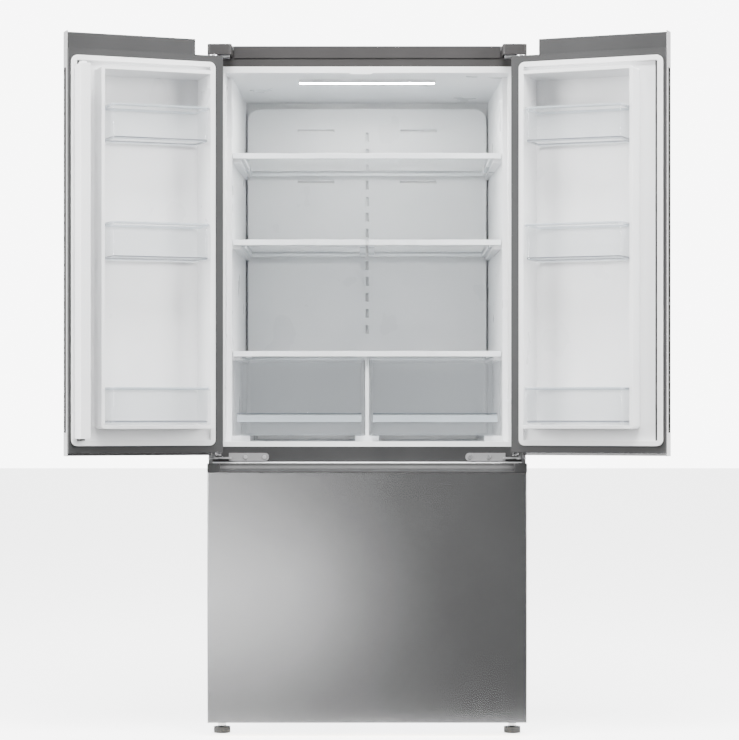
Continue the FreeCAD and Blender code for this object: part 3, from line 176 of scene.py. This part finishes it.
MATERIALS = {
    "stainless_front": brushed("brushed_stainless", (0.47, 0.47, 0.475), (0.60, 0.60, 0.605), 0.24),
    "painted_casing": moulded("casing_paint", (0.15, 0.15, 0.153), (0.17, 0.17, 0.173), 0.42, 700, 0.12),
    "dark_trim": moulded("dark_trim_plastic", (0.018, 0.0165, 0.0165), (0.023, 0.021, 0.021), 0.52),
    "gray_frame": moulded("gray_frame_plastic", (0.020, 0.020, 0.0205), (0.026, 0.026, 0.0265), 0.52),
    "white_liner": moulded("white_liner_plastic", (0.80, 0.805, 0.815), (0.84, 0.845, 0.85), 0.30, 500, 0.04),
    "white_gasket": moulded("gasket_vinyl", (0.74, 0.74, 0.745), (0.79, 0.79, 0.79), 0.62, 1200, 0.15),
    "clear_plastic": clear("clear_plastic", (0.66, 0.70, 0.73), 0.06, 60.0, 0.11),
    "shelf_trim": moulded("shelf_trim_plastic", (0.80, 0.82, 0.84), (0.85, 0.87, 0.88), 0.28, 600, 0.04),
    "shelf_glass": clear("shelf_glass", (0.62, 0.68, 0.72), 0.03, 20.0, 0.24),
    "light_lens": glowing("light_lens_diffuser", (1.0, 1.0, 0.98), 560.0),
    "zinc_steel": brushed("zinc_plated_steel", (0.60, 0.60, 0.61), (0.72, 0.72, 0.73), 0.36),
    "galvanised_steel": moulded("galvanised_sheet", (0.42, 0.43, 0.44), (0.55, 0.56, 0.57), 0.45, 60, 0.1,
                                Metallic=0.9),
    "black_enamel": moulded("black_enamel", (0.012, 0.012, 0.012), (0.02, 0.02, 0.02), 0.25, 300, 0.08),
    "aluminium_fins": moulded("mill_aluminium", (0.60, 0.61, 0.62), (0.70, 0.71, 0.72), 0.35, 200, 0.1,
                              Metallic=1.0),
    "black_plastic": moulded("black_plastic", (0.018, 0.018, 0.018), (0.028, 0.028, 0.028), 0.55),
    "black_rubber": moulded("foot_rubber", (0.012, 0.012, 0.012), (0.02, 0.02, 0.02), 0.7, 1100, 0.25),
    "insulation": moulded("insulating_foam", (0.72, 0.62, 0.40), (0.80, 0.70, 0.48), 0.85, 180, 0.5),
}
BRACKET_PAINT = moulded("bracket_paint", (0.20, 0.20, 0.202), (0.23, 0.23, 0.232), 0.40, 700, 0.10)
CLEAR_EDGE = clear("clear_plastic_edge", (0.50, 0.55, 0.59), 0.12, 60.0, 0.55)
DARK_LINE = moulded("bin_base_band", (0.06, 0.07, 0.09), (0.08, 0.09, 0.11), 0.3, 300, 0.03)

for node, thing in frame["nodes"].items():
    thing.data.materials.clear()
    thing.data.materials.append(MATERIALS[slot_of[node]])


# --- mesh helpers --------------------------------------------------------------------------------

def add_piece(name, bm, body, slot, replaced=(), bevel=0.0, smooth_angle=30, material=None,
              segments=2, bands=()):
    """Makes an object of a bmesh, gives it its finish and ties it to its body.

    Bands lists (low, high, material) for the faces whose middle lies between two heights.
    """
    bmesh.ops.recalc_face_normals(bm, faces=bm.faces)
    mesh = bpy.data.meshes.new(name)
    bm.to_mesh(mesh)
    bm.free()
    for polygon in mesh.polygons:
        polygon.use_smooth = True
    mesh.set_sharp_from_angle(angle=math.radians(smooth_angle))
    mesh.materials.append(material or MATERIALS[slot])
    for index, (low, high, finish) in enumerate(bands, start=1):
        mesh.materials.append(finish)
        for polygon in mesh.polygons:
            if low <= polygon.center.z <= high:
                polygon.material_index = index
    piece = bpy.data.objects.new(name, mesh)
    bpy.context.scene.collection.objects.link(piece)
    if bevel:
        modifier = piece.modifiers.new("edges", "BEVEL")
        modifier.width = bevel
        modifier.segments = segments
        modifier.limit_method = "ANGLE"
        modifier.angle_limit = math.radians(40)
        modifier.harden_normals = True
    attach(piece, body)
    if replaced:
        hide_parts(*replaced)
    return piece


def soften(node, bevel, segments=2, material=None, bands=()):
    """Replaces a CAD node by its own shape with its faces made whole and its edges rounded."""
    bm = bmesh.new()
    bm.from_mesh(frame["nodes"][node].data)
    bmesh.ops.remove_doubles(bm, verts=bm.verts, dist=1e-5)
    bmesh.ops.dissolve_limit(bm, angle_limit=math.radians(1), verts=bm.verts, edges=bm.edges)
    return add_piece(f"{node}_finished", bm, body_of[node], slot_of[node], (node,), bevel, material=material,
                     segments=segments, bands=bands)


def slab(low, high):
    """A bmesh box between two corners."""
    bm = bmesh.new()
    bmesh.ops.create_cube(bm, size=1.0)
    for vert in bm.verts:
        vert.co = Vector([low[k] + (vert.co[k] + 0.5) * (high[k] - low[k]) for k in range(3)])
    return bm


def shrunk(low, high, inset):
    """The first two coordinates of two corners, moved towards each other."""
    return (low[0] + inset, low[1] + inset), (high[0] - inset, high[1] - inset)


def rounded_loop(low, high, radius, steps=6):
    """Points round a rectangle with round corners, counterclockwise from the lower right corner."""
    radius = max(radius, 1e-5)
    points = []
    corners = (((high[0], low[1]), (-1, 1), -90), ((high[0], high[1]), (-1, -1), 0),
               ((low[0], high[1]), (1, -1), 90), ((low[0], low[1]), (1, 1), 180))
    for (across, along), (side_x, side_y), start in corners:
        centre = (across + side_x * radius, along + side_y * radius)
        for step in range(steps + 1):
            angle = math.radians(start + 90 * step / steps)
            points.append((centre[0] + radius * math.cos(angle), centre[1] + radius * math.sin(angle)))
    return points


def loft(loops, closed=False, caps=True):
    """A bmesh over loops of 3-D points; closed joins the last loop to the first."""
    bm = bmesh.new()
    rings = [[bm.verts.new(point) for point in loop] for loop in loops]
    pairs = list(zip(rings, rings[1:]))
    if closed:
        pairs.append((rings[-1], rings[0]))
    for one, two in pairs:
        for index in range(len(one)):
            after = (index + 1) % len(one)
            bm.faces.new((one[index], one[after], two[after], two[index]))
    if caps and not closed:
        bm.faces.new(rings[0][::-1])
        bm.faces.new(rings[-1])
    return bm


def outlines(low, high, radius, profile, lift):
    """One loop per (distance inwards, height) of a profile; lift makes its points 3-D."""
    loops = []
    for inset, height in profile:
        outline = rounded_loop(*shrunk(low, high, inset), radius - inset)
        loops.append([lift(a, b, height) for a, b in outline])
    return loops


def ring(low, high, radius, profile, lift):
    """A moulding that runs round a rectangle."""
    return loft(outlines(low, high, radius, profile, lift), closed=True)


def tub(low, high, radius, wall, bottom, top, lift, bead, draft):
    """An open tub: a floor with a foot rim, drafted walls with a beaded rim, and round corners."""
    profile = [(draft + 3 * MM, bottom), (draft, bottom + 3 * MM), (0.0, top - 6 * MM),
               (-bead, top - 4 * MM), (-bead, top - MM), (MM - bead, top), (wall - MM, top),
               (wall, top - MM), (wall, top - 6 * MM), (draft + wall, bottom + 6 * MM),
               (draft + wall + 3 * MM, bottom + wall)]
    return loft(outlines(low, high, radius, profile, lift))


def level(a, b, height):
    return Vector((a, b, height))


# --- stage: floor, light and camera --------------------------------------------------------------

# Strength of the surroundings ahead of, beside and behind the doors.
FRONT_GLOW = 0.10
SIDE_GLOW = 2.4
BACK_GLOW = 8.0

# The floor's reach in metres: ahead of the drawer, to each side and behind.
FLOOR_AHEAD = 0.12
FLOOR_SIDE = 20
FLOOR_BEHIND = 30

# Soft panels: name, place and target with y counted from the doors' front edge, width, height, watts.
PANELS = [
    ("grip_panel", (-1.05, -2.6, 0.12), (-0.2, 0.0, 0.35), 1.9, 0.22, 8),
    ("key_panel", (-2.6, -6.4, 1.6), (-0.3, 0.0, 0.8), 3.4, 3.0, 60),
    ("left_panel", (-3.4, -1.6, 1.8), (0.0, 0.0, 1.0), 1.5, 2.4, 300),
    ("right_panel", (3.4, -1.6, 1.8), (0.0, 0.0, 1.0), 1.5, 2.4, 240),
    ("top_panel", (0.2, -2.6, 5.2), (0.0, -cad_box[0][1], 1.1), 3.2, 2.0, 760),
]

CAMERA_DISTANCE = 6.0
CAMERA_HEIGHT = 0.766


def make_surroundings():
    """White surroundings, brightest behind and dim in front, so that steel shows the panels."""
    world = bpy.data.worlds.new("studio")
    world.use_nodes = True
    tree = world.node_tree
    background = tree.nodes["Background"]
    background.inputs["Color"].default_value = (1, 1, 1, 1)
    direction = tree.nodes.new("ShaderNodeTexCoord")
    axes = tree.nodes.new("ShaderNodeSeparateXYZ")
    tree.links.new(direction.outputs["Generated"], axes.inputs["Vector"])
    total = tree.nodes.new("ShaderNodeMath")
    for place, (start, end, low, high) in enumerate(((-0.50, 0.70, FRONT_GLOW, SIDE_GLOW),
                                                     (0.90, 0.975, 0.0, BACK_GLOW - SIDE_GLOW))):
        glow = tree.nodes.new("ShaderNodeMapRange")
        glow.interpolation_type = "SMOOTHSTEP"
        glow.inputs["From Min"].default_value = start
        glow.inputs["From Max"].default_value = end
        glow.inputs["To Min"].default_value = low
        glow.inputs["To Max"].default_value = high
        tree.links.new(axes.outputs["Y"], glow.inputs["Value"])
        tree.links.new(glow.outputs["Result"], total.inputs[place])
    tree.links.new(total.outputs["Value"], background.inputs["Strength"])
    bpy.context.scene.world = world


def make_floor():
    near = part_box("drawer_skin")[0][1] - FLOOR_AHEAD
    ground = cad_box[0][2]
    corners = [(-FLOOR_SIDE, near, ground), (FLOOR_SIDE, near, ground),
               (FLOOR_SIDE, FLOOR_BEHIND, ground), (-FLOOR_SIDE, FLOOR_BEHIND, ground)]
    mesh = bpy.data.meshes.new("floor")
    mesh.from_pydata(corners, [], [(0, 1, 2, 3)])
    mesh.materials.append(moulded("floor_paint", (0.93, 0.93, 0.93), (0.95, 0.95, 0.95), 0.8, 40, 0.02,
                                  Emission_Color=(1, 1, 1, 1), Emission_Strength=3.2))
    floor = bpy.data.objects.new("floor", mesh)
    bpy.context.scene.collection.objects.link(floor)


def make_panels():
    ahead = Vector((0.0, cad_box[0][1], 0.0))
    for name, place, target, width, height, watts in PANELS:
        light = bpy.data.lights.new(name, "AREA")
        light.shape = "RECTANGLE"
        light.size = width
        light.size_y = height
        light.energy = watts
        lamp = bpy.data.objects.new(name, light)
        lamp.location = Vector(place) + ahead
        lamp.rotation_euler = (Vector(target) - Vector(place)).to_track_quat("-Z", "Y").to_euler()
        bpy.context.scene.collection.objects.link(lamp)


def make_camera():
    """A long lens level with the middle of the doors."""
    camera = bpy.data.cameras.new("camera")
    camera.lens = 122.9
    camera.sensor_width = 36.0
    camera.sensor_fit = "HORIZONTAL"
    camera.shift_x = 0.0032
    camera.shift_y = 0.061
    camera.clip_end = 100
    eye = bpy.data.objects.new("camera", camera)
    eye.location = (0.0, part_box("drawer_skin")[0][1] - CAMERA_DISTANCE, CAMERA_HEIGHT)
    eye.rotation_euler = (math.radians(90), 0, 0)
    bpy.context.scene.collection.objects.link(eye)
    bpy.context.scene.camera = eye


# --- doors ---------------------------------------------------------------------------------------
# Door pieces are laid out on a shut left door: u from the hinge axis to the free edge, d from the
# axis towards the cabinet, z up. A door's lift turns that to where the door stands open.

def door_lift(side):
    """A function that takes u, z and d to a point on the open door."""
    joint = joints[f"{side}_door_hinge"]
    pivot = Vector((joint["pos_m"][0], joint["pos_m"][1], 0.0))
    turn = Matrix.Rotation(math.radians(joint["range_deg"][0]), 3, "Z")

    def lift(u, z, d):
        spot = turn @ Vector((u, d, z))
        if side == "right":
            spot.x = -spot.x
        return pivot + spot
    return lift


def on_door(side, node):
    """A node's lowest and highest u and d on its door, measured on its CAD mesh."""
    lift = door_lift(side)
    origin = lift(0, 0, 0)
    along = lift(1, 0, 0) - origin
    inward = lift(0, 0, 1) - origin
    points = [vertex.co - origin for vertex in frame["nodes"][node].data.vertices]
    us = [point.dot(along) for point in points]
    ds = [point.dot(inward) for point in points]
    zs = [point.z for point in points]
    return (min(us), min(ds), min(zs)), (max(us), max(ds), max(zs))


def make_gasket(side):
    """A magnetic gasket: a flat foot, a bellows fold and the magnet's round-backed pocket."""
    low, high = on_door(side, f"{side}_door_gasket")
    depth = high[1] - low[1]
    width = 12 * MM
    profile = [(0.0, 0.0), (0.0, 0.12), (0.14, 0.24), (0.14, 0.34), (0.0, 0.46), (0.0, 0.90), (0.06, 1.0),
               (0.94, 1.0), (1.0, 0.90), (1.0, 0.46), (0.86, 0.34), (0.86, 0.24), (1.0, 0.12), (1.0, 0.0)]
    lift = door_lift(side)
    bm = ring((low[0], low[2]), (high[0], high[2]), 14 * MM,
              [(share * width, low[1] + rise * depth) for share, rise in profile], lift)
    add_piece(f"{side}_door_gasket_bellows", bm, f"{side}_door", "white_gasket", (f"{side}_door_gasket",))


def make_bin(side, place):
    """A clear bin: thin drafted walls, a beaded rim and a foot rail along its front."""
    node = f"{side}_{place}_bin"
    low, high = on_door(side, node)
    lift = door_lift(side)

    def upright(u, d, height):
        return lift(u, height, d)

    bead = 1.5 * MM
    bottom, top = low[2], high[2]
    walls = tub(*shrunk(low, high, bead), 12 * MM, 2.6 * MM, bottom, top, upright, bead, 2.5 * MM)
    add_piece(f"{node}_moulding", walls, body_of[node], "clear_plastic", (node,),
              bands=((top - 5 * MM, top, CLEAR_EDGE), (bottom, bottom + 2 * MM, CLEAR_EDGE)))
    rail_low, rail_high, rail_wall = bottom + 3.4 * MM, bottom + 6 * MM, 1.2 * MM
    rail = ring(*shrunk(low, high, 4 * MM), 11 * MM,
                [(0.0, rail_low), (0.0, rail_high), (rail_wall, rail_high), (rail_wall, rail_low)], upright)
    add_piece(f"{node}_rail", rail, body_of[node], "clear_plastic", material=DARK_LINE)


def make_doors():
    for side in ("left", "right"):
        soften(f"{side}_door_liner", 5 * MM, 4)
        soften(f"{side}_door_frame", 1.2 * MM)
        soften(f"{side}_door_skin", 0.4 * MM, 1)
        make_gasket(side)
        for place in ("lower", "middle", "upper"):
            make_bin(side, place)
    soften("flip_mullion", 2.5 * MM, 3)


# --- inside the fresh-food space -----------------------------------------------------------------

def make_shelf_trims():
    for node in ("top_shelf_frame", "half_shelf_frames", "crisper_cover_frame"):
        soften(node, 1.5 * MM, 3)


def make_crisper(side):
    """A clear crisper with a grip band across its front and a dark line along its lip."""
    node = f"crisper_{side}"
    low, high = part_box(node)
    soften(node, 0.8 * MM,
           bands=((high[2] - MM, high[2], CLEAR_EDGE), (low[2], low[2] + 4 * MM, CLEAR_EDGE)))
    lip = low[2] + 55 * MM
    for name, bottom, top, finish in (("grip", lip - 22 * MM, lip - 5 * MM, CLEAR_EDGE),
                                      ("lip", lip - 2 * MM, lip, DARK_LINE)):
        strip = slab((low[0] + 6 * MM, low[1] - 0.6 * MM, bottom),
                     (high[0] - 6 * MM, low[1] - 0.1 * MM, top))
        add_piece(f"{node}_{name}", strip, body_of[node], "clear_plastic", material=finish)


def make_light():
    """The ceiling light: a white housing with a thin glowing strip under it."""
    low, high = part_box("light_lens")
    middle = (low[1] + high[1]) / 2
    glow = slab((low[0] + 2 * MM, middle - 5 * MM, low[2] - 0.5 * MM),
                (high[0] - 2 * MM, middle + 5 * MM, low[2]))
    add_piece("light_strip", glow, body_of["light_lens"], "light_lens")
    soften("light_lens", 0.6 * MM, material=MATERIALS["white_liner"])


# --- feet ----------------------------------------------------------------------------------------

def make_foot(side):
    """A levelling foot: its own pad, a lock nut under the pan and the turns of its thread."""
    node = f"front_foot_{side}"
    low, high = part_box(node)
    centre = ((low[0] + high[0]) / 2, (low[1] + high[1]) / 2)

    def turned(name, rows, sides):
        loops = [[level(centre[0] + radius * math.cos(math.tau * k / sides),
                        centre[1] + radius * math.sin(math.tau * k / sides), low[2] + height * MM)
                  for k in range(sides)] for radius, height in rows]
        add_piece(f"{node}_{name}", loft(loops), body_of[node], "zinc_steel", smooth_angle=20)

    turned("nut", [(9 * MM, 17), (10 * MM, 18), (10 * MM, 23), (9 * MM, 24)], 6)
    turned("thread", [((5.0 if k % 2 else 6.0) * MM, 24.2 + 0.6 * k) for k in range(15)], 20)
    soften(node, 1.0 * MM, 3)


# Pieces that keep their CAD shape, with the rounding of their edges in millimetres.
SOFT_EDGES = (("duct_cover", 1.5), ("top_trim", 1.5), ("hinge_covers", 2.0), ("drawer_grip_cap", 1.5),
              ("centre_rail", 1.0), ("fridge_liner", 3.0), ("top_hinges", 0.6), ("crisper_divider", 1.5),
              ("freezer_basket", 1.0), ("freezer_tray", 1.0))

make_floor()
make_surroundings()
make_panels()
make_camera()
make_doors()
make_foot("left")
make_foot("right")
make_shelf_trims()
make_crisper("left")
make_crisper("right")
for node, bevel in SOFT_EDGES:
    soften(node, bevel * MM)
soften("middle_hinges", 0.6 * MM, material=BRACKET_PAINT)
make_light()
